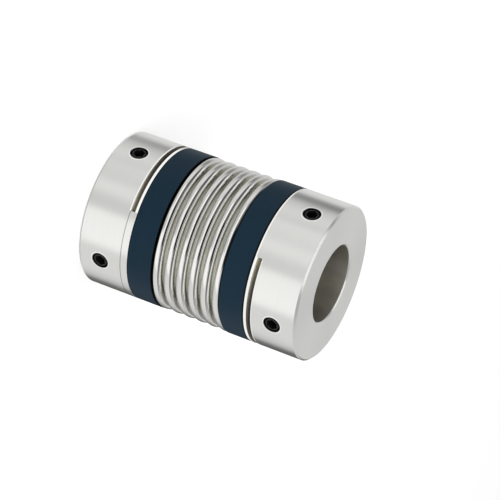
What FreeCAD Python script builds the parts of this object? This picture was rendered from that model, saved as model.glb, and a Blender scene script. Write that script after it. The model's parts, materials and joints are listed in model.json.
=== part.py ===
import FreeCAD, Part
import os

import Sketcher

# Bellows coupling with two set-screw hubs, in millimetres.
# It stands on its lower hub. The origin is the centre of the lower end face, and the
# common axis of both shafts is +Z. The upper end is the lower end turned half a turn
# about Y, so each half slot lies opposite the other.

# Driving sizes
SIZES = {
    # Outline of the whole coupling
    "overall_length": 30.0,
    "body_diameter": 20.0,
    "bore_diameter": 10.0,
    # Hub: from its end face to its shoulder, then the spigot that carries the bellows
    "hub_length": 6.9,
    "spigot_length": 3.0,
    "end_chamfer": 0.25,
    "bore_chamfer": 0.15,
    # Half slot, sawn to the middle of the hub beside the shoulder
    "slot_width": 0.6,
    "slot_flange": 0.35,
    "saw_overrun": 1.0,
    # Ring pressed over the bellows' cuff
    "ring_width": 3.35,
    "ring_wall": 2.21,
    # Bellows: folded tube with a plain cuff at each end
    "crest_inset": 0.05,
    "crest_rise": 0.25,
    "bellows_wall": 0.15,
    "convolution_count": 6,
    # Set screws, M2.5: a plain body at the thread's pitch diameter
    "screw_diameter": 2.16,
    "screw_length": 4.0,
    "screw_recess": 0.1,
    "screw_inset": 3.07,
    "screw_spread": 90.0,
    "screw_chamfer": 0.25,
    "screw_mouth_width": 0.08,
    "socket_across_flats": 1.3,
    "socket_depth": 1.3,
    # Clearances
    "cuff_clearance": 0.02,
    "ring_clearance": 0.02,
    "cuff_end_gap": 0.1,
    "fold_end_gap": 0.08,
    "thread_clearance": 0.02,
}

# Places worked out from the driving sizes
BODY_RADIUS = "(sizes.body_diameter / 2)"
BORE_RADIUS = "(sizes.bore_diameter / 2)"
SPIGOT_END = "(sizes.hub_length + sizes.spigot_length)"
SLOT_START = "(sizes.hub_length - sizes.slot_flange - sizes.slot_width)"
RING_END = "(sizes.hub_length + sizes.ring_width)"

# From the ring's bore inwards: the bellows' cuff, then the spigot that carries it
RING_BORE_RADIUS = f"({BODY_RADIUS} - sizes.ring_wall)"
CUFF_OUTER_RADIUS = f"({RING_BORE_RADIUS} - sizes.ring_clearance)"
CUFF_INNER_RADIUS = f"({CUFF_OUTER_RADIUS} - sizes.bellows_wall)"
SPIGOT_RADIUS = f"({CUFF_INNER_RADIUS} - sizes.cuff_clearance)"

# The folds fill the room between the rings. The wall's middle line spends half of each pitch
# at the crest and half at the root, joined by flanks square to the axis. WIDE_FOLD is half the
# outer width of a crest, TIGHT_FOLD half its inner width.
ROOM = f"(sizes.overall_length - 2 * {RING_END})"
FOLDS_LENGTH = f"({ROOM} - 2 * sizes.fold_end_gap - sizes.bellows_wall)"
PITCH = f"({FOLDS_LENGTH} / (sizes.convolution_count - 0.5))"
WIDE_FOLD = f"({PITCH} / 4 + sizes.bellows_wall / 2)"
TIGHT_FOLD = f"({PITCH} / 4 - sizes.bellows_wall / 2)"
FIRST_ROOT = f"({RING_END} + sizes.fold_end_gap + {WIDE_FOLD} - {PITCH} / 2)"
CUFF_START = "(sizes.hub_length + sizes.cuff_end_gap)"
CREST_RADIUS = f"({BODY_RADIUS} - sizes.crest_inset)"
CREST_EDGE_RADIUS = f"({CREST_RADIUS} - sizes.crest_rise)"
CREST_INNER_RADIUS = f"({CREST_RADIUS} - sizes.crest_rise / 2 - sizes.bellows_wall)"

# A set screw lies on a radius of the hub, its socket just under the hub's surface
SCREW_RADIUS = "(sizes.screw_diameter / 2)"
SCREW_HOLE_DIAMETER = "(sizes.screw_diameter + 2 * sizes.thread_clearance)"
SCREW_MOUTH_DIAMETER = f"({SCREW_HOLE_DIAMETER} + 2 * sizes.screw_mouth_width)"
SCREW_HEAD = f"({BODY_RADIUS} - sizes.screw_recess)"
SCREW_TIP = f"({SCREW_HEAD} - sizes.screw_length)"
RIGHT_SCREW_ANGLE = "(sizes.screw_spread / 2 - 90)"
LEFT_SCREW_ANGLE = "(-sizes.screw_spread / 2 - 90)"

doc = FreeCAD.newDocument("bellows_coupling")
sheet = doc.addObject("Spreadsheet::Sheet", "sizes")
for row, (alias, number) in enumerate(SIZES.items(), start=1):
    sheet.set(f"A{row}", alias)
    sheet.set(f"B{row}", str(number))
    sheet.setAlias(f"B{row}", alias)
doc.recompute()


def value(expression):
    """The number that an expression has with the sheet's sizes."""
    return float(sheet.evalExpression(expression))


def bind(target, path, expression):
    """Give a property its number now, and tie it to the sheet."""
    target.setExpression(path, expression)


def new_sketch(body, role, name, offset_axis=None, offset=None):
    """An empty sketch on one of the body's origin planes, moved off it along one sketch axis."""
    sketch = body.newObject("Sketcher::SketchObject", name)
    plane = next(f for f in body.Origin.OriginFeatures if f.Role == role)
    sketch.AttachmentSupport = [(plane, "")]
    sketch.MapMode = "FlatFace"
    if offset_axis:
        bind(sketch, f"AttachmentOffset.Base.{offset_axis}", offset)
    return sketch


def constrain(sketch, expression, kind, *args):
    """A dimension of the sketch, tied to the sheet. Its place is measured with a positive size."""
    index = sketch.addConstraint(Sketcher.Constraint(kind, *args, value(expression)))
    name = f"size_{index}"
    sketch.renameConstraint(index, name)
    bind(sketch, f"Constraints.{name}", expression)


def place_point(sketch, geometry, point, across, up):
    """Fix a point by its distances from the origin. None puts it on the axis itself."""
    if across is None:
        sketch.addConstraint(Sketcher.Constraint("PointOnObject", geometry, point, -2))
    else:
        constrain(sketch, across, "DistanceX", -1, 1, geometry, point)
    if up is None:
        sketch.addConstraint(Sketcher.Constraint("PointOnObject", geometry, point, -1))
    else:
        constrain(sketch, up, "DistanceY", -1, 1, geometry, point)


def add_outline(sketch, corners):
    """A closed outline of straight lines through corners given as pairs of expressions."""
    points = []
    for across, up in corners:
        x = 0.0 if across is None else value(across)
        y = 0.0 if up is None else value(up)
        points.append(FreeCAD.Vector(x, y, 0))
    for start, end in zip(points, points[1:] + points[:1]):
        sketch.addGeometry(Part.LineSegment(start, end))
    count = len(corners)
    for line in range(count):
        sketch.addConstraint(Sketcher.Constraint("Coincident", line, 2, (line + 1) % count, 1))
    for line, (across, up) in enumerate(corners):
        place_point(sketch, line, 1, across, up)


def add_hexagon(sketch, across_flats):
    """A regular hexagon about the sketch's origin, held by the circle through its corners."""
    corner_radius = f"({across_flats} / sqrt(3))"
    radius = value(corner_radius)
    turn = FreeCAD.Rotation(FreeCAD.Vector(0, 0, 1), 60)
    corner = FreeCAD.Vector(radius, 0, 0)
    for side in range(6):
        following = turn.multVec(corner)
        sketch.addGeometry(Part.LineSegment(corner, following))
        corner = following
    circle = sketch.addGeometry(Part.Circle(FreeCAD.Vector(), FreeCAD.Vector(0, 0, 1), radius), True)
    for side in range(6):
        sketch.addConstraint(Sketcher.Constraint("Coincident", side, 2, (side + 1) % 6, 1))
        sketch.addConstraint(Sketcher.Constraint("PointOnObject", side, 1, circle))
    for side in range(1, 6):
        sketch.addConstraint(Sketcher.Constraint("Equal", 0, side))
    sketch.addConstraint(Sketcher.Constraint("Coincident", circle, 3, -1, 1))
    sketch.addConstraint(Sketcher.Constraint("PointOnObject", 0, 1, -1))
    constrain(sketch, corner_radius, "Radius", circle)


def add_ring(sketch, inner_radius, outer_radius):
    """Two circles about the sketch's origin."""
    for expression in (inner_radius, outer_radius):
        radius = value(expression)
        circle = sketch.addGeometry(Part.Circle(FreeCAD.Vector(), FreeCAD.Vector(0, 0, 1), radius))
        sketch.addConstraint(Sketcher.Constraint("Coincident", circle, 3, -1, 1))
        constrain(sketch, expression, "Radius", circle)


def revolve(body, sketch, axis, name):
    """A full turn of the sketch about one of its own axes."""
    feature = body.newObject("PartDesign::Revolution", name)
    feature.Profile = sketch
    feature.ReferenceAxis = (sketch, [axis])
    feature.Angle = 360.0
    doc.recompute()
    return feature


def circle_edge(feature, radius, height):
    """The name of the round edge that has this radius, at this height on the axis."""
    for number, edge in enumerate(feature.Shape.Edges, start=1):
        curve = edge.Curve
        if not isinstance(curve, Part.Circle):
            continue
        same_radius = abs(curve.Radius - value(radius)) < 1e-4
        same_height = abs(curve.Center.z - value(height)) < 1e-4
        if same_radius and same_height:
            return f"Edge{number}"
    raise RuntimeError(f"{feature.Label} has no round edge of radius {radius} at {height}")


def chamfer(body, base, edges, size, name):
    """Bevel round edges of the last feature, given as pairs of radius and height."""
    feature = body.newObject("PartDesign::Chamfer", name)
    feature.Base = (base, [circle_edge(base, radius, height) for radius, height in edges])
    bind(feature, "Size", size)
    doc.recompute()
    return feature


def cut_must_bite(before, after):
    """A cut that points away from the solid would leave its volume as it was."""
    if after.Shape.Volume >= before.Shape.Volume - 1e-6:
        raise RuntimeError(f"{after.Label} cuts nothing")


def turn_over(body):
    """Put a lower piece at the upper end: half a turn about Y, then up by the whole length."""
    body.Placement.Rotation = FreeCAD.Rotation(FreeCAD.Vector(0, 1, 0), 180)
    bind(body, "Placement.Base.z", "sizes.overall_length")


def make_hub(label):
    """A turned hub: bore, spigot for the bellows, a half slot and two tapped holes."""
    body = doc.addObject("PartDesign::Body", label)
    section = new_sketch(body, "XZ_Plane", f"{label}_section")
    add_outline(section, [
        (BORE_RADIUS, None),
        (BODY_RADIUS, None),
        (BODY_RADIUS, "sizes.hub_length"),
        (SPIGOT_RADIUS, "sizes.hub_length"),
        (SPIGOT_RADIUS, SPIGOT_END),
        (BORE_RADIUS, SPIGOT_END),
    ])
    turned = revolve(body, section, "V_Axis", f"{label}_turned")
    beveled = chamfer(body, turned, [(BODY_RADIUS, "0")], "sizes.end_chamfer", f"{label}_end_bevel")
    beveled = chamfer(body, beveled, [(BORE_RADIUS, "0")], "sizes.bore_chamfer", f"{label}_bore_bevel")
    slotted = saw_half_slot(body, beveled, label)
    drill_screw_holes(body, slotted, label)
    return body


def saw_half_slot(body, base, label):
    """A thin cut square to the axis, from the hub's -X side to its middle plane."""
    plan = new_sketch(body, "XY_Plane", f"{label}_slot_plan", "z", SLOT_START)
    saw_reach = f"({BODY_RADIUS} + sizes.saw_overrun)"
    reach = value(saw_reach)
    corners = [(0.0, -reach), (0.0, reach), (-reach, reach), (-reach, -reach)]
    points = [FreeCAD.Vector(x, y, 0) for x, y in corners]
    for start, end in zip(points, points[1:] + points[:1]):
        plan.addGeometry(Part.LineSegment(start, end))
    for line in range(4):
        plan.addConstraint(Sketcher.Constraint("Coincident", line, 2, (line + 1) % 4, 1))
    for line in (0, 2):
        plan.addConstraint(Sketcher.Constraint("Vertical", line))
    for line in (1, 3):
        plan.addConstraint(Sketcher.Constraint("Horizontal", line))
    plan.addConstraint(Sketcher.Constraint("Symmetric", 0, 1, 0, 2, -1, 1))
    constrain(plan, f"2 * {saw_reach}", "DistanceY", 0, 1, 0, 2)
    constrain(plan, saw_reach, "DistanceX", 1, 2, 1, 1)

    slot = body.newObject("PartDesign::Pocket", f"{label}_slot")
    slot.Profile = plan
    slot.Reversed = True
    bind(slot, "Length", "sizes.slot_width")
    doc.recompute()
    cut_must_bite(base, slot)
    return slot


def drill_screw_holes(body, base, label):
    """Two radial holes with countersunk mouths, through the wall to the bore."""
    plan = new_sketch(body, "YZ_Plane", f"{label}_hole_plan")
    bind(plan, "AttachmentOffset.Base.x", f"{BODY_RADIUS} * sin({RIGHT_SCREW_ANGLE})")
    bind(plan, "AttachmentOffset.Base.z", f"{BODY_RADIUS} * cos({RIGHT_SCREW_ANGLE})")
    plan.AttachmentOffset.Rotation = FreeCAD.Rotation(FreeCAD.Vector(0, 1, 0), 1)
    bind(plan, "AttachmentOffset.Rotation.Angle", RIGHT_SCREW_ANGLE)
    height = value("sizes.screw_inset")
    radius = value(SCREW_HOLE_DIAMETER) / 2
    circle = plan.addGeometry(Part.Circle(FreeCAD.Vector(0, height, 0), FreeCAD.Vector(0, 0, 1), radius))
    place_point(plan, circle, 3, None, "sizes.screw_inset")
    constrain(plan, f"{SCREW_HOLE_DIAMETER} / 2", "Radius", circle)
    doc.recompute()

    hole = body.newObject("PartDesign::Hole", f"{label}_right_hole")
    hole.Profile = plan
    doc.recompute()
    hole.ThreadType = "None"
    hole.DepthType = "Dimension"
    hole.DrillPoint = "Flat"
    hole.HoleCutType = "Countersink"
    hole.HoleCutCountersinkAngle = 90.0
    bind(hole, "Diameter", SCREW_HOLE_DIAMETER)
    bind(hole, "HoleCutDiameter", SCREW_MOUTH_DIAMETER)
    bind(hole, "Depth", f"{BODY_RADIUS} - {BORE_RADIUS} / 2")
    doc.recompute()
    cut_must_bite(base, hole)

    pair = body.newObject("PartDesign::PolarPattern", f"{label}_hole_pair")
    pair.Originals = [hole]
    axis = next(f for f in body.Origin.OriginFeatures if f.Role == "Z_Axis")
    pair.Axis = (axis, [""])
    pair.Reversed = True
    pair.Occurrences = 2
    bind(pair, "Angle", "sizes.screw_spread")
    body.Tip = pair
    doc.recompute()
    cut_must_bite(hole, pair)


def make_ring(label):
    """A ring that seats on the hub's shoulder and closes over the bellows' cuff."""
    body = doc.addObject("PartDesign::Body", label)
    plan = new_sketch(body, "XY_Plane", f"{label}_plan", "z", "sizes.hub_length")
    add_ring(plan, RING_BORE_RADIUS, BODY_RADIUS)
    band = body.newObject("PartDesign::Pad", f"{label}_band")
    band.Profile = plan
    bind(band, "Length", "sizes.ring_width")
    doc.recompute()
    return body


def add_fold_section(sketch):
    """One fold of the tube, from the middle of one root to the middle of the next.

    The outline runs up the outside of the wall and back down its inside. The crest's two
    bevels meet in a ridge at its middle, which stands for its rounding.
    """
    crest = f"({PITCH} / 2)"
    add_outline(sketch, [
        (CUFF_OUTER_RADIUS, None),
        (CUFF_OUTER_RADIUS, f"{crest} - {WIDE_FOLD}"),
        (CREST_EDGE_RADIUS, f"{crest} - {WIDE_FOLD}"),
        (CREST_RADIUS, crest),
        (CREST_EDGE_RADIUS, f"{crest} + {WIDE_FOLD}"),
        (CUFF_OUTER_RADIUS, f"{crest} + {WIDE_FOLD}"),
        (CUFF_OUTER_RADIUS, PITCH),
        (CUFF_INNER_RADIUS, PITCH),
        (CUFF_INNER_RADIUS, f"{crest} + {TIGHT_FOLD}"),
        (CREST_INNER_RADIUS, f"{crest} + {TIGHT_FOLD}"),
        (CREST_INNER_RADIUS, f"{crest} - {TIGHT_FOLD}"),
        (CUFF_INNER_RADIUS, f"{crest} - {TIGHT_FOLD}"),
        (CUFF_INNER_RADIUS, None),
    ])


def add_cuff(body, name, start):
    """A plain end of the tube, on the hub's spigot, that runs into the nearest root fold."""
    plan = new_sketch(body, "XY_Plane", f"{name}_plan", "z", start)
    add_ring(plan, CUFF_INNER_RADIUS, CUFF_OUTER_RADIUS)
    cuff = body.newObject("PartDesign::Pad", name)
    cuff.Profile = plan
    bind(cuff, "Length", f"{FIRST_ROOT} - {CUFF_START}")
    doc.recompute()
    return cuff


def make_bellows(label):
    """The folded tube: one fold turned about the axis, repeated, with a cuff at each end."""
    body = doc.addObject("PartDesign::Body", label)
    section = new_sketch(body, "XZ_Plane", f"{label}_fold_section", "y", FIRST_ROOT)
    add_fold_section(section)
    fold = revolve(body, section, "V_Axis", f"{label}_fold")

    folds = body.newObject("PartDesign::LinearPattern", f"{label}_folds")
    folds.Originals = [fold]
    axis = next(f for f in body.Origin.OriginFeatures if f.Role == "Z_Axis")
    folds.Direction = (axis, [""])
    bind(folds, "Occurrences", "sizes.convolution_count")
    bind(folds, "Length", f"{PITCH} * (sizes.convolution_count - 1)")
    body.Tip = folds
    doc.recompute()

    add_cuff(body, f"{label}_lower_cuff", CUFF_START)
    add_cuff(body, f"{label}_upper_cuff", f"sizes.overall_length - {FIRST_ROOT}")
    return body


def make_set_screw(label, angle, height):
    """A set screw with a hexagon socket, along +X before it is turned to its angle."""
    body = doc.addObject("PartDesign::Body", label)
    section = new_sketch(body, "XZ_Plane", f"{label}_section")
    add_outline(section, [
        (SCREW_TIP, None),
        (SCREW_HEAD, None),
        (SCREW_HEAD, f"{SCREW_RADIUS} - sizes.screw_chamfer"),
        (f"{SCREW_HEAD} - sizes.screw_chamfer", SCREW_RADIUS),
        (f"{SCREW_TIP} + sizes.screw_chamfer", SCREW_RADIUS),
        (SCREW_TIP, f"{SCREW_RADIUS} - sizes.screw_chamfer"),
    ])
    shank = revolve(body, section, "H_Axis", f"{label}_shank")

    plan = new_sketch(body, "YZ_Plane", f"{label}_socket_plan", "z", SCREW_HEAD)
    add_hexagon(plan, "sizes.socket_across_flats")
    socket = body.newObject("PartDesign::Pocket", f"{label}_socket")
    socket.Profile = plan
    bind(socket, "Length", "sizes.socket_depth")
    doc.recompute()
    cut_must_bite(shank, socket)

    body.Placement.Rotation = FreeCAD.Rotation(FreeCAD.Vector(0, 0, 1), 1)
    bind(body, "Placement.Rotation.Angle", angle)
    bind(body, "Placement.Base.z", height)
    return body


def check_and_write(bodies):
    """Stop at any failed object or broken shape, then write one file for each piece."""
    doc.recompute()
    for item in doc.Objects:
        if "Invalid" in item.State or "Error" in item.State:
            raise RuntimeError(f"{item.Label} failed: {item.State}")
    for body in bodies:
        shape = body.Shape
        if shape.isNull() or not shape.isValid() or len(shape.Solids) != 1:
            raise RuntimeError(f"{body.Label} isn't one valid solid")
    os.makedirs("parts", exist_ok=True)
    for body in bodies:
        body.Shape.exportStep(f"parts/{body.Label}.step")
        box = body.Shape.BoundBox
        print(f"{body.Label}: volume {body.Shape.Volume:.2f} mm3, "
              f"x {box.XMin:.2f} to {box.XMax:.2f}, y {box.YMin:.2f} to {box.YMax:.2f}, "
              f"z {box.ZMin:.2f} to {box.ZMax:.2f}")


lower_hub = make_hub("lower_hub")
upper_hub = make_hub("upper_hub")
turn_over(upper_hub)

lower_ring = make_ring("lower_ring")
upper_ring = make_ring("upper_ring")
turn_over(upper_ring)

bellows = make_bellows("bellows")

screws = []
for end, height in (("lower", "sizes.screw_inset"), ("upper", "sizes.overall_length - sizes.screw_inset")):
    for side, angle in (("left", LEFT_SCREW_ANGLE), ("right", RIGHT_SCREW_ANGLE)):
        screws.append(make_set_screw(f"{end}_set_screw_{side}", angle, height))

check_and_write([lower_hub, upper_hub, lower_ring, upper_ring, bellows] + screws)
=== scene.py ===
from collections import namedtuple
import json
import math

import bpy
from mathutils import Euler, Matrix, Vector


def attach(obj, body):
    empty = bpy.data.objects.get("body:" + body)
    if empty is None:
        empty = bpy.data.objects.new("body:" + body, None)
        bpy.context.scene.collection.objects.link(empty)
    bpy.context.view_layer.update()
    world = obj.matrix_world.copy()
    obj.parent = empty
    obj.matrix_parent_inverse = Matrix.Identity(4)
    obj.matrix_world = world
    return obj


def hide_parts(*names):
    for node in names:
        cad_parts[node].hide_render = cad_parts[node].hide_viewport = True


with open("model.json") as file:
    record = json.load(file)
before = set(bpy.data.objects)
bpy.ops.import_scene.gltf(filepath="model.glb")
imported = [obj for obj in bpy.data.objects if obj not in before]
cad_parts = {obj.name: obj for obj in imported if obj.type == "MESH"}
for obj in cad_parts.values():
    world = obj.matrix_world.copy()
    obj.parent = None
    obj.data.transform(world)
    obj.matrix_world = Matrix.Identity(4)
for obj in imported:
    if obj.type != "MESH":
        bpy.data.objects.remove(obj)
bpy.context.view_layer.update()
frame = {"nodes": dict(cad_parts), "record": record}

MM = 0.001

# Sizes of the coupling in millimetres, as the solids have them
LENGTH = 30.0
BODY_RADIUS = 10.0
BORE_RADIUS = 5.0
SLOT_START = 5.95
SLOT_WIDTH = 0.6
RING_START = 6.9
RING_END = 10.25
SCREW_INSET = 3.07
SCREW_SPREAD = 90.0

# The folded tube in millimetres: its wall and cuffs, and the rounded crests of its folds
WALL = 0.15
CUFF_START = 7.0
CUFF_INNER_RADIUS = 7.62
FOLDS = 6
FOLD_END_GAP = 0.08
PITCH = (LENGTH - 2 * RING_END - 2 * FOLD_END_GAP - WALL) / (FOLDS - 0.5)
CREST_RADIUS = 9.95
CREST_RISE = 0.42
CREST_HALF_WIDTH = 0.533

# Points of the tube: round a crest, round half a root, and round the axis
CREST_STEPS = 16
HALF_ROOT_STEPS = 5
TURN_STEPS = 240

# Bands in the materials, in millimetres: beyond the coupling on every side, and inside its skin
FAR = 100.0
SKIN = BODY_RADIUS - 0.1

# Marks on the hubs in millimetres: the fine line that goes on from the lower slot, how far out the painted
# shade on a slot's walls reaches its darkest, the circles of a screw hole's wall, which is painted dark as
# shade, and of its shining rim, the side that the screws are on, and where the front's shine fades out
LINE_HALF_WIDTH = 0.05
SLOT_SHADE_REACH = 8.0
HOLE_WALL_RADIUS = 1.13
RIM_RADII = (1.17, 1.27)
SCREWS_BELOW_Y = -4.0
SHINE_FADE = 1.5

# The hubs' shining edges: where each starts and ends in millimetres, and on which side it is
TOP_SHOULDER = LENGTH - RING_START
FLANGE = RING_START - SLOT_START - SLOT_WIDTH
SHINING_EDGES = (
    (SLOT_START - 0.16, SLOT_START, "left"),
    (RING_START - FLANGE, RING_START + 0.1, "left"),
    (TOP_SHOULDER, TOP_SHOULDER + FLANGE, "right"),
    (LENGTH - SLOT_START, LENGTH - SLOT_START + 0.08, "right"),
    (TOP_SHOULDER - 0.1, TOP_SHOULDER + 0.17, "round"),
)

# How far the normals of the shining edges lean towards the coupling's front and top
EDGE_LEAN = (0.0, -1.2, 0.45)

# Painted shade at the joints at a ring's ends, coloured black: where the ring starts, and its widths at the
# ring's foot and at its top
RING_JOINTS = ((RING_START, 0.11, 0.04), (LENGTH - RING_END, 0.0, 0.24))
JOINT_OVERLAP = 1.0

# Tones on a fold. Lines on a crest are shares of the pitch, from one root's middle to the next, above a
# radius;
# the dark line is painted shade and the pale line leans the normal. The shoulder is a span of radii painted
# as shade, and painted shade lies above the lower ring.
DARK_LINE = (0.70, 0.75)
DARK_LINE_FROM = 9.5
PALE_LINE = (0.765, 0.84)
PALE_LINE_FROM = 9.36
SHOULDER = (8.98, 9.22)
SHADE_ABOVE_LOWER_RING = (RING_END + 0.21, RING_END + 0.35)
GROOVE_RADIUS = 9.3

# Where along X the folds' painted shade and pale lines end, and how far from the middle the folds turn
# duller
LINES_LEFT, LINES_RIGHT = -7.6, 8.2
DULL_FROM = 8.2

# How strong the thin marks are, where 1 hides what is under them
FINE_LINE_STRENGTH = 0.8
RIM_STRENGTH = 0.6
SHOULDER_STRENGTH = 0.85

# How rough the surfaces are, where 0 mirrors. A pair goes from smooth to rough.
HUB_ROUGHNESS = (0.27, 0.29)
SAWN_ROUGHNESS = 0.6
BORE_ROUGHNESS = 0.30
SHINE_ROUGHNESS = 0.1
FOLD_ROUGHNESS = (0.11, 0.30)
DULL_FOLD_ROUGHNESS = 0.32
RING_ROUGHNESS = (0.46, 0.56)
SCREW_ROUGHNESS = (0.3, 0.45)

# Colours of the materials
ALUMINIUM = (0.85, 0.85, 0.825)
FINE_LINE = (0.2, 0.19, 0.18)
# Painted light near a slot's end and painted shade further out on the sawn walls
SLOT_PAINTED_LIGHT, SLOT_PAINTED_SHADE = (0.85, 0.81, 0.69), (0.20, 0.18, 0.15)
BORE = (0.74, 0.72, 0.65)
# Painted shade on the screw holes' walls
HOLE_WALL_SHADE = (0.2, 0.2, 0.195)
STEEL = (0.84, 0.835, 0.81)
# Painted reflection: a lighter beige tint for the tones that the grooves show
GROOVE_PAINTED_REFLECTION = (0.92, 0.92, 0.865)
# Painted shade for the dark lines and shoulders of the folds, and for the band above the lower ring
FOLD_PAINTED_SHADE = (0.16, 0.16, 0.14)
BLUE = (0.007, 0.026, 0.046)
# Painted shade for the joints at the rings' ends
JOINT_SHADE = (0.001, 0.0015, 0.002)
OXIDE = (0.022, 0.022, 0.022)
WHITE = (1, 1, 1, 1)

# The studio round the coupling: its plain grey, and soft panels and flags over it. Compass 0 is right
# and -90 is the front. Angles are in degrees, and slope is a panel's rise along the compass.
STUDIO_GREY = 0.66
Panel = namedtuple("Panel", "name compass elevation slope half_width half_height softness grey")
STUDIO = [
    Panel("floor in front", -90, -88, 0.0, 98, 34, 10, 0.27),
    Panel("ceiling", 0, 90, 0.0, 400, 29, 5, 1.3),
    Panel("ceiling on the left", 155, 67, 0.0, 48, 18, 4, 1.3),
    Panel("high flag on the right", 8, 62, 0.0, 62, 11, 6, 0.38),
    Panel("flag on the left", -150, 29, 0.0, 52, 20, 7, 0.16),
    Panel("flag in front", -88, 31, 0.0, 34, 24, 7, 0.03),
    Panel("panel in front", -85, 1, 0.12, 68, 11, 7, 1.2),
    Panel("low panel behind", 118, -20, 0.0, 18, 30, 8, 0.78),
    Panel("low panel on the left", -172, -20, 0.0, 12, 30, 9, 0.82),
    Panel("low panel in front", -112, -22, 0.0, 10, 16, 8, 0.95),
    Panel("low panel in front on the right", -50, -20, 0.0, 28, 30, 6, 1.10),
    Panel("low panel on the right", 5, -10, 0.0, 26, 30, 9, 0.80),
    Panel("low flag behind on the right", 66, -20, 0.0, 18, 26, 8, 0.11),
    Panel("low flag behind on the left", 150, -5, 0.0, 10, 18, 7, 0.11),
]

# Floor, lamps and camera, in metres, watts, degrees and millimetres of lens
FLOOR_HALF_SIZE = 1.5
FLOOR_LIFT = 0.32
LAMP_TARGET = (0, 0, 0.015)
LAMP_SIZE = 0.25
LAMPS = (("key", (0.12, -0.22, 0.30), 0.55), ("fill", (-0.28, -0.10, 0.22), 0.25))
CAMERA_PLACE = (0.0, -0.2519988, 0.111194)
CAMERA_TURN = (-42.9086, -61.8798, 136.6174)
CAMERA_LENS = 156.24


class Nodes:
    """Adds shader nodes to a tree from left to right, and links them."""

    def __init__(self, tree):
        self.tree = tree
        self.tree.nodes.clear()

    def add(self, kind, inputs=None, **settings):
        """A node with its settings; inputs maps a socket's name or number to a value or an output."""
        node = self.tree.nodes.new(kind)
        node.location = (220 * (len(self.tree.nodes) % 9), -260 * (len(self.tree.nodes) // 9))
        for name, setting in settings.items():
            setattr(node, name, setting)
        for socket, given in (inputs or {}).items():
            if isinstance(given, bpy.types.NodeSocket):
                self.tree.links.new(given, node.inputs[socket])
            else:
                node.inputs[socket].default_value = given
        return node

    def math(self, operation, first, second=0.0, third=0.0, clamp=False):
        """The result of one Math node."""
        return self.add("ShaderNodeMath", {0: first, 1: second, 2: third}, operation=operation,
                        use_clamp=clamp).outputs[0]

    def times(self, first, *others):
        """The product of several numbers."""
        for other in others:
            first = self.math("MULTIPLY", first, other)
        return first

    def either(self, first, *others):
        """The sum of several shares, 1 at most."""
        for other in others:
            first = self.math("ADD", first, other, clamp=True)
        return first

    def distance(self, first, second):
        """The length of the long side over two short sides."""
        squares = self.math("ADD", self.times(first, first), self.times(second, second))
        return self.math("SQRT", squares)

    def mix(self, share, first, second):
        """A number between two numbers."""
        return self.add("ShaderNodeMix", {0: share, 2: first, 3: second}).outputs[0]

    def blend(self, share, first, second):
        """A colour between two colours."""
        first, second = [(*c, 1) if isinstance(c, tuple) else c for c in (first, second)]
        return self.add("ShaderNodeMix", {0: share, 6: first, 7: second}, data_type="RGBA").outputs[2]

    def band(self, number, low, high, edge):
        """1 where number lies between low and high, with soft edges, else 0."""
        rise = self.add("ShaderNodeMapRange", {0: number, 1: low - edge, 2: low + edge},
                        interpolation_type="SMOOTHSTEP").outputs[0]
        fall = self.add("ShaderNodeMapRange", {0: number, 1: high - edge, 2: high + edge, 3: 1.0, 4: 0.0},
                        interpolation_type="SMOOTHSTEP").outputs[0]
        return self.times(rise, fall)

    def within(self, angle, half, softness):
        """1 where an angle in radians lies within half degrees of zero, with soft edges, else 0."""
        size = self.math("ABSOLUTE", angle)
        return self.add("ShaderNodeMapRange", {0: size, 1: math.radians(half - softness),
                                               2: math.radians(half + softness), 3: 1.0, 4: 0.0},
                        interpolation_type="SMOOTHSTEP").outputs[0]

    def noise(self, place, scale, detail=2.0, roughness=0.5):
        """Grey noise in space."""
        return self.add("ShaderNodeTexNoise", {"Vector": place, "Scale": scale, "Detail": detail,
                                               "Roughness": roughness}).outputs[0]

    def ramp(self, factor, stops):
        """A colour ramp through pairs of place and colour."""
        node = self.add("ShaderNodeValToRGB", {0: factor})
        for element, (place, colour) in zip(node.color_ramp.elements, stops):
            element.position = place
            element.color = (*colour, 1)
        return node.outputs[0]


def new_material(name, colour):
    """An empty node material and its tree's helper."""
    material = bpy.data.materials.new(name)
    material.use_nodes = True
    material.diffuse_color = (*colour, 1)
    return material, Nodes(material.node_tree)


def shaded(colour, share):
    """A colour made darker or lighter."""
    return [share * part for part in colour]


def place_in_millimetres(nodes):
    """Object coordinates in millimetres."""
    place = nodes.add("ShaderNodeTexCoord").outputs["Object"]
    return nodes.add("ShaderNodeVectorMath", {0: place, "Scale": 1 / MM}, operation="SCALE").outputs[0]


def split_place(nodes, place):
    """A place's parts along X, Y and Z, and its distance from the axis."""
    parts = nodes.add("ShaderNodeSeparateXYZ", {0: place}).outputs
    return parts, nodes.distance(parts[0], parts[1])


def turning_marks(nodes, parts, radius, fineness):
    """Grey noise in rings round the axis, as a lathe leaves it."""
    angle = nodes.math("ARCTAN2", parts[1], parts[0])
    rings = nodes.add("ShaderNodeCombineXYZ", {0: nodes.times(radius, fineness), 1: nodes.times(angle, 0.6),
                                               2: nodes.times(parts[2], fineness)}).outputs[0]
    return nodes.noise(rings, 1.0, 3.0, 0.6)


def lean_forward(nodes, normal, share):
    """A normal that leans towards the coupling's front where share is 1."""
    part = nodes.add("ShaderNodeVectorMath", {0: EDGE_LEAN, "Scale": share}, operation="SCALE").outputs[0]
    leaning = nodes.add("ShaderNodeVectorMath", {0: normal, 1: part}, operation="ADD").outputs[0]
    return nodes.add("ShaderNodeVectorMath", {0: leaning}, operation="NORMALIZE").outputs[0]


def soft_edge(nodes, radius):
    """A normal that rounds the sharp edges, with a radius in millimetres."""
    return nodes.add("ShaderNodeBevel", {"Radius": radius * MM}, samples=8).outputs[0]


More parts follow.
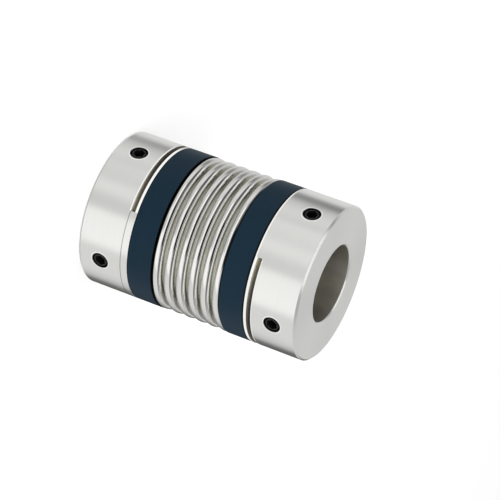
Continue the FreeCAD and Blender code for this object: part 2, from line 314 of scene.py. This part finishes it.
def finish_metal(nodes, tint, rough, metallic, normal, marks, anisotropy):
    """A turned metal surface, blurred along the axis."""
    bump = nodes.add("ShaderNodeBump", {"Strength": 0.008, "Distance": 0.01 * MM, "Height": marks,
                                        "Normal": normal}).outputs[0]
    tangent = nodes.add("ShaderNodeTangent", direction_type="RADIAL", axis="Z").outputs[0]
    shader = nodes.add("ShaderNodeBsdfPrincipled", {
        "Base Color": tint, "Metallic": metallic, "Roughness": rough, "Normal": bump, "Tangent": tangent,
        "Anisotropic": anisotropy, "Anisotropic Rotation": 0.25})
    nodes.add("ShaderNodeOutputMaterial", {0: shader.outputs[0]})


def sawn_walls(nodes, from_middle, radius):
    """1 on the walls of the half slots, which lie equally far from the coupling's middle."""
    slot_end = LENGTH / 2 - SLOT_START
    level = nodes.band(from_middle, slot_end - SLOT_WIDTH - 0.01, slot_end + 0.01, 0.004)
    return nodes.times(level, nodes.band(radius, BORE_RADIUS + 0.05, BODY_RADIUS - 0.03, 0.02))


def screw_circles(nodes, parts, from_middle):
    """1 on the screw holes' walls, and 1 on the rims round them."""
    across = nodes.math("SUBTRACT", nodes.math("ABSOLUTE", parts[0]), nodes.math("ABSOLUTE", parts[1]))
    across = nodes.times(across, math.sin(math.radians(SCREW_SPREAD / 2)))
    along = nodes.math("SUBTRACT", from_middle, LENGTH / 2 - SCREW_INSET)
    off_screw = nodes.distance(across, along)
    front = nodes.band(parts[1], -FAR, SCREWS_BELOW_Y, 0.1)
    wall = nodes.band(off_screw, -FAR, HOLE_WALL_RADIUS, 0.02)
    rim = nodes.band(off_screw, *RIM_RADII, 0.03)
    return nodes.times(wall, front), nodes.times(rim, front)


def hub_surface():
    """Satin aluminium: turned faces with shining edges, a dull bore, sawn slots with painted light and
    painted shade, painted shade in the screw holes, and a fine line.
    """
    material, nodes = new_material("turned_aluminium", ALUMINIUM)
    place = place_in_millimetres(nodes)
    parts, radius = split_place(nodes, place)
    height = parts[2]
    from_middle = nodes.math("ABSOLUTE", nodes.math("SUBTRACT", height, LENGTH / 2))
    sides = {"left": nodes.band(parts[0], -FAR, 0, 0.05), "right": nodes.band(parts[0], 0, FAR, 0.05),
             "round": 1.0}
    outside = nodes.band(radius, SKIN, FAR, 0.02)

    marks = turning_marks(nodes, parts, radius, 9.0)
    tint = nodes.ramp(marks, [(0.3, shaded(ALUMINIUM, 0.97)), (0.7, ALUMINIUM)])
    rough = nodes.mix(nodes.noise(place, 0.35), *HUB_ROUGHNESS)

    line = nodes.band(height, SLOT_START - LINE_HALF_WIDTH, SLOT_START + LINE_HALF_WIDTH, 0.02)
    tint = nodes.blend(nodes.times(line, sides["right"], outside, FINE_LINE_STRENGTH), tint, FINE_LINE)

    # Painted light and painted shade on the sawn walls: pale near the slot's end, darker further out, where
    # shade falls in the slot
    sawn = sawn_walls(nodes, from_middle, radius)
    slot_shade = nodes.math("DIVIDE", nodes.math("ABSOLUTE", parts[0]), SLOT_SHADE_REACH, clamp=True)
    tint = nodes.blend(sawn, tint, nodes.blend(slot_shade, SLOT_PAINTED_LIGHT, SLOT_PAINTED_SHADE))
    rough = nodes.mix(sawn, rough, SAWN_ROUGHNESS)
    metallic = nodes.mix(sawn, 1.0, 0.25)

    bored = nodes.band(radius, -FAR, BORE_RADIUS + 0.03, 0.01)
    tint = nodes.blend(bored, tint, BORE)
    rough = nodes.mix(bored, rough, BORE_ROUGHNESS)
    metallic = nodes.mix(bored, metallic, 0.97)

    # Painted shade: the screw holes' walls are coloured dark, where shade falls inside the holes
    hole_shade, rim = screw_circles(nodes, parts, from_middle)
    tint = nodes.blend(hole_shade, tint, HOLE_WALL_SHADE)

    edges = [nodes.times(nodes.band(height, low, high, 0.01), sides[side])
             for low, high, side in SHINING_EDGES]
    shine = nodes.either(nodes.times(rim, RIM_STRENGTH), *edges)
    shine = nodes.times(shine, outside, nodes.band(parts[1], -FAR, -SHINE_FADE, SHINE_FADE))
    rough = nodes.mix(shine, rough, SHINE_ROUGHNESS)
    normal = lean_forward(nodes, soft_edge(nodes, 0.04), shine)
    finish_metal(nodes, tint, rough, metallic, normal, marks, 0.8)
    return material


def bellows_surface():
    """Formed steel: polished crests with a line of painted shade and a pale line on each, painted shade on
    the shoulders and above the lower ring, and duller grooves with a painted reflection in a lighter beige
    tint.
    """
    material, nodes = new_material("formed_steel", STEEL)
    parts, radius = split_place(nodes, place_in_millimetres(nodes))
    marks = turning_marks(nodes, parts, radius, 4.0)
    tint = nodes.ramp(marks, [(0.3, shaded(STEEL, 0.96)), (0.7, STEEL)])

    # Painted reflection in the grooves: a lighter beige tint, with more roughness
    groove = nodes.band(radius, -FAR, GROOVE_RADIUS, 0.25)
    tint = nodes.blend(groove, tint, GROOVE_PAINTED_REFLECTION)
    rough = nodes.mix(groove, *FOLD_ROUGHNESS)
    aside = nodes.band(nodes.math("ABSOLUTE", parts[0]), DULL_FROM, FAR, 0.6)
    rough = nodes.mix(aside, rough, DULL_FOLD_ROUGHNESS)

    turns = nodes.math("DIVIDE", nodes.math("SUBTRACT", parts[2], LENGTH / 2), PITCH)
    share = nodes.math("FRACT", turns)
    between = nodes.band(parts[0], LINES_LEFT, LINES_RIGHT, 1.2)
    # Painted shade: a dark line on each crest, a dark shoulder band, and a dark band above the lower ring
    dark_line = nodes.times(nodes.band(share, *DARK_LINE, 0.015),
                            nodes.band(radius, DARK_LINE_FROM, FAR, 0.02))
    shoulder = nodes.times(nodes.band(radius, *SHOULDER, 0.06), SHOULDER_STRENGTH)
    dark = nodes.times(nodes.math("MAXIMUM", dark_line, shoulder), between)
    dark = nodes.math("MAXIMUM", dark, nodes.band(parts[2], *SHADE_ABOVE_LOWER_RING, 0.03))
    tint = nodes.blend(dark, tint, FOLD_PAINTED_SHADE)

    pale_line = nodes.times(nodes.band(share, *PALE_LINE, 0.01),
                            nodes.band(radius, PALE_LINE_FROM, FAR, 0.04), between)
    normal = lean_forward(nodes, nodes.add("ShaderNodeNewGeometry").outputs["Normal"], pale_line)
    finish_metal(nodes, tint, rough, 1.0, normal, marks, 0.2)
    return material


def ring_surface():
    """Matt dark blue anodised aluminium with a fine grain, and black painted shade at the joints at the
    rings' ends.
    """
    material, nodes = new_material("blue_anodised", BLUE)
    place = place_in_millimetres(nodes)
    parts, radius = split_place(nodes, place)
    grain = nodes.noise(place, 14.0, 3.0)
    texture = nodes.times(nodes.math("ADD", grain, turning_marks(nodes, parts, radius, 9.0)), 0.5)
    tint = nodes.ramp(texture, [(0.3, shaded(BLUE, 0.85)), (0.7, shaded(BLUE, 1.12))])

    # Painted shade: black bands at the rings' ends, where shade falls in the gaps to the hubs and the tube
    joints = []
    for start, foot, top in RING_JOINTS:
        end = start + RING_END - RING_START
        joints.append(nodes.band(parts[2], start - JOINT_OVERLAP, start + foot, 0.03))
        joints.append(nodes.band(parts[2], end - top, end + JOINT_OVERLAP, 0.03))
    tint = nodes.blend(nodes.either(*joints), tint, JOINT_SHADE)

    bump = nodes.add("ShaderNodeBump", {"Strength": 0.06, "Distance": 0.01 * MM, "Height": texture,
                                        "Normal": soft_edge(nodes, 0.05)}).outputs[0]
    shader = nodes.add("ShaderNodeBsdfPrincipled", {
        "Base Color": tint, "Metallic": 0.0, "Roughness": nodes.mix(grain, *RING_ROUGHNESS), "Normal": bump,
        "Specular IOR Level": 0.12})
    nodes.add("ShaderNodeOutputMaterial", {0: shader.outputs[0]})
    return material


def screw_surface():
    """Oiled black steel."""
    material, nodes = new_material("black_oxide", OXIDE)
    grain = nodes.noise(place_in_millimetres(nodes), 6.0, 4.0)
    tint = nodes.ramp(grain, [(0.35, shaded(OXIDE, 0.6)), (0.7, shaded(OXIDE, 1.5))])
    shader = nodes.add("ShaderNodeBsdfPrincipled", {
        "Base Color": tint, "Metallic": 0.6, "Roughness": nodes.mix(grain, *SCREW_ROUGHNESS),
        "Normal": soft_edge(nodes, 0.05)})
    nodes.add("ShaderNodeOutputMaterial", {0: shader.outputs[0]})
    return material


def dress_solids(materials):
    """Gives each solid the material of its slot in the record."""
    for row in frame["record"]["subparts"]:
        node = frame["nodes"][row["node"]]
        for slot in node.material_slots:
            slot.link = "OBJECT"
            slot.material = materials[row["material_slot"]]


def arc(centre, reach, rise, first, last, steps):
    """Points of an elliptic arc in radius and height. It reaches out from its centre and rises above it."""
    points = []
    for step in range(steps + 1):
        angle = math.radians(first + (last - first) * step / steps)
        points.append((centre[0] + reach * math.cos(angle), centre[1] + rise * math.sin(angle)))
    return points


def tube_line(inset):
    """The tube's outline from the lower cuff to the upper one, at a depth under its outer skin."""
    crest_reach, crest_half = CREST_RISE - inset, CREST_HALF_WIDTH - inset
    root = PITCH / 2 - crest_half
    crest_centre = CREST_RADIUS - CREST_RISE
    root_centre = CUFF_INNER_RADIUS + WALL + PITCH / 2 - CREST_HALF_WIDTH
    first_crest = LENGTH / 2 - (FOLDS - 1) / 2 * PITCH

    points = [(root_centre - root, CUFF_START)]
    points += arc((root_centre, first_crest - PITCH / 2), root, root, 180, 90, HALF_ROOT_STEPS)
    for fold in range(FOLDS):
        crest = first_crest + fold * PITCH
        points += arc((crest_centre, crest), crest_reach, crest_half, -90, 90, CREST_STEPS)
        last, steps = (90, 2 * HALF_ROOT_STEPS) if fold < FOLDS - 1 else (180, HALF_ROOT_STEPS)
        points += arc((root_centre, crest + PITCH / 2), root, root, 270, last, steps)
    points.append((root_centre - root, LENGTH - CUFF_START))
    return points


def add_object(name, data):
    """An object in the scene for a mesh, a light or a camera."""
    item = bpy.data.objects.new(name, data)
    bpy.context.scene.collection.objects.link(item)
    return item


def lathe(name, outline, steps, material):
    """A closed outline in radius and height, in millimetres, turned about the axis."""
    vertices = []
    for step in range(steps):
        angle = 2 * math.pi * step / steps
        for radius, height in outline:
            vertices.append((radius * MM * math.cos(angle), radius * MM * math.sin(angle), height * MM))
    count = len(outline)
    faces = []
    for step in range(steps):
        here, there = step * count, (step + 1) % steps * count
        for place in range(count):
            following = (place + 1) % count
            faces.append((here + place, there + place, there + following, here + following))
    mesh = bpy.data.meshes.new(name)
    mesh.from_pydata(vertices, [], faces)
    mesh.shade_smooth()
    mesh.set_sharp_from_angle(angle=math.radians(50))
    mesh.materials.append(material)
    return add_object(name, mesh)


def make_tube(material):
    """The folded tube with round crests and roots, in place of the bellows' solid."""
    tube = lathe("folded_tube", tube_line(0.0) + tube_line(WALL)[::-1], TURN_STEPS, material)
    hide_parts("bellows")
    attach(tube, "root")


def studio_by_direction(nodes, direction):
    """Brightness of the studio in a direction: plain grey with the soft panels over it."""
    rise = nodes.math("ARCSINE", nodes.add("ShaderNodeSeparateXYZ", {0: direction}).outputs[2])
    level = STUDIO_GREY
    for panel in STUDIO:
        turned = nodes.add("ShaderNodeVectorRotate", {"Vector": direction,
                                                      "Angle": -math.radians(panel.compass)},
                           rotation_type="Z_AXIS", label=panel.name).outputs[0]
        parts = nodes.add("ShaderNodeSeparateXYZ", {0: turned}).outputs
        aside = nodes.math("ARCTAN2", parts[1], parts[0])
        middle = nodes.math("MULTIPLY_ADD", aside, panel.slope, math.radians(panel.elevation))
        above = nodes.math("SUBTRACT", rise, middle)
        inside = nodes.times(nodes.within(aside, panel.half_width, panel.softness),
                             nodes.within(above, panel.half_height, panel.softness))
        level = nodes.mix(inside, level, panel.grey)
    return level


def make_world():
    """The studio as the coupling mirrors it, and plain white where the camera sees past the floor."""
    world = bpy.data.worlds.new("studio")
    bpy.context.scene.world = world
    world.use_nodes = True
    nodes = Nodes(world.node_tree)
    studio = studio_by_direction(nodes, nodes.add("ShaderNodeTexCoord").outputs["Generated"])
    camera_ray = nodes.add("ShaderNodeLightPath").outputs["Is Camera Ray"]
    lit = nodes.add("ShaderNodeBackground", {0: studio, 1: 1.0}).outputs[0]
    plain = nodes.add("ShaderNodeBackground", {0: WHITE, 1: 1.0}).outputs[0]
    both = nodes.add("ShaderNodeMixShader", {0: camera_ray, 1: lit, 2: plain}).outputs[0]
    nodes.add("ShaderNodeOutputWorld", {0: both})


def make_floor():
    """A pale floor that the coupling stands on. Mirrored rays pass it and meet the studio's tones."""
    material, nodes = new_material("pale_floor", (0.9, 0.9, 0.9))
    place = nodes.add("ShaderNodeTexCoord").outputs["Object"]
    pale = nodes.ramp(nodes.noise(place, 900.0), [(0.3, (0.86, 0.86, 0.86)), (0.7, (0.88, 0.88, 0.88))])
    path = nodes.add("ShaderNodeLightPath").outputs
    paper = nodes.add("ShaderNodeBsdfDiffuse", {0: pale}).outputs[0]
    lift = nodes.add("ShaderNodeEmission", {0: WHITE, 1: FLOOR_LIFT}).outputs[0]
    seen = nodes.add("ShaderNodeAddShader", {0: paper, 1: lift}).outputs[0]
    passed = nodes.add("ShaderNodeBsdfTransparent").outputs[0]
    for_camera = nodes.add("ShaderNodeMixShader", {0: path["Is Camera Ray"], 1: paper, 2: seen}).outputs[0]
    mirrored = nodes.math("MAXIMUM", path["Is Glossy Ray"], path["Is Transmission Ray"])
    both = nodes.add("ShaderNodeMixShader", {0: mirrored, 1: for_camera, 2: passed}).outputs[0]
    nodes.add("ShaderNodeOutputMaterial", {0: both})

    mesh = bpy.data.meshes.new("floor")
    corners = [(-1, -1), (1, -1), (1, 1), (-1, 1)]
    mesh.from_pydata([(x * FLOOR_HALF_SIZE, y * FLOOR_HALF_SIZE, 0) for x, y in corners], [], [(0, 1, 2, 3)])
    mesh.materials.append(material)
    floor = add_object("floor", mesh)


def add_lamp(name, place, power):
    """A soft square lamp that points at the coupling. It shows in no mirrored ray, so the studio does."""
    light = bpy.data.lights.new(name, "AREA")
    light.shape = "RECTANGLE"
    light.size = light.size_y = LAMP_SIZE
    light.energy = power
    lamp = add_object(name, light)
    lamp.location = place
    lamp.visible_glossy = False
    lamp.rotation_euler = (Vector(LAMP_TARGET) - Vector(place)).to_track_quat("-Z", "Y").to_euler()


def make_camera():
    """The camera at the photograph's viewing angle."""
    lens = bpy.data.cameras.new("camera")
    lens.sensor_width = 36.0
    lens.lens = CAMERA_LENS
    lens.clip_start = 0.01
    lens.clip_end = 10.0
    camera = add_object("camera", lens)
    camera.location = CAMERA_PLACE
    camera.rotation_euler = Euler([math.radians(turn) for turn in CAMERA_TURN], "XYZ")
    bpy.context.scene.camera = camera


slot_materials = {"hub_metal": hub_surface(), "ring_blue": ring_surface(),
                  "bellows_steel": bellows_surface(), "screw_black": screw_surface()}
dress_solids(slot_materials)
make_tube(slot_materials["bellows_steel"])
make_world()
make_floor()
for lamp_name, lamp_place, lamp_power in LAMPS:
    add_lamp(lamp_name, lamp_place, lamp_power)
make_camera()
bpy.context.scene.view_settings.view_transform = "Standard"
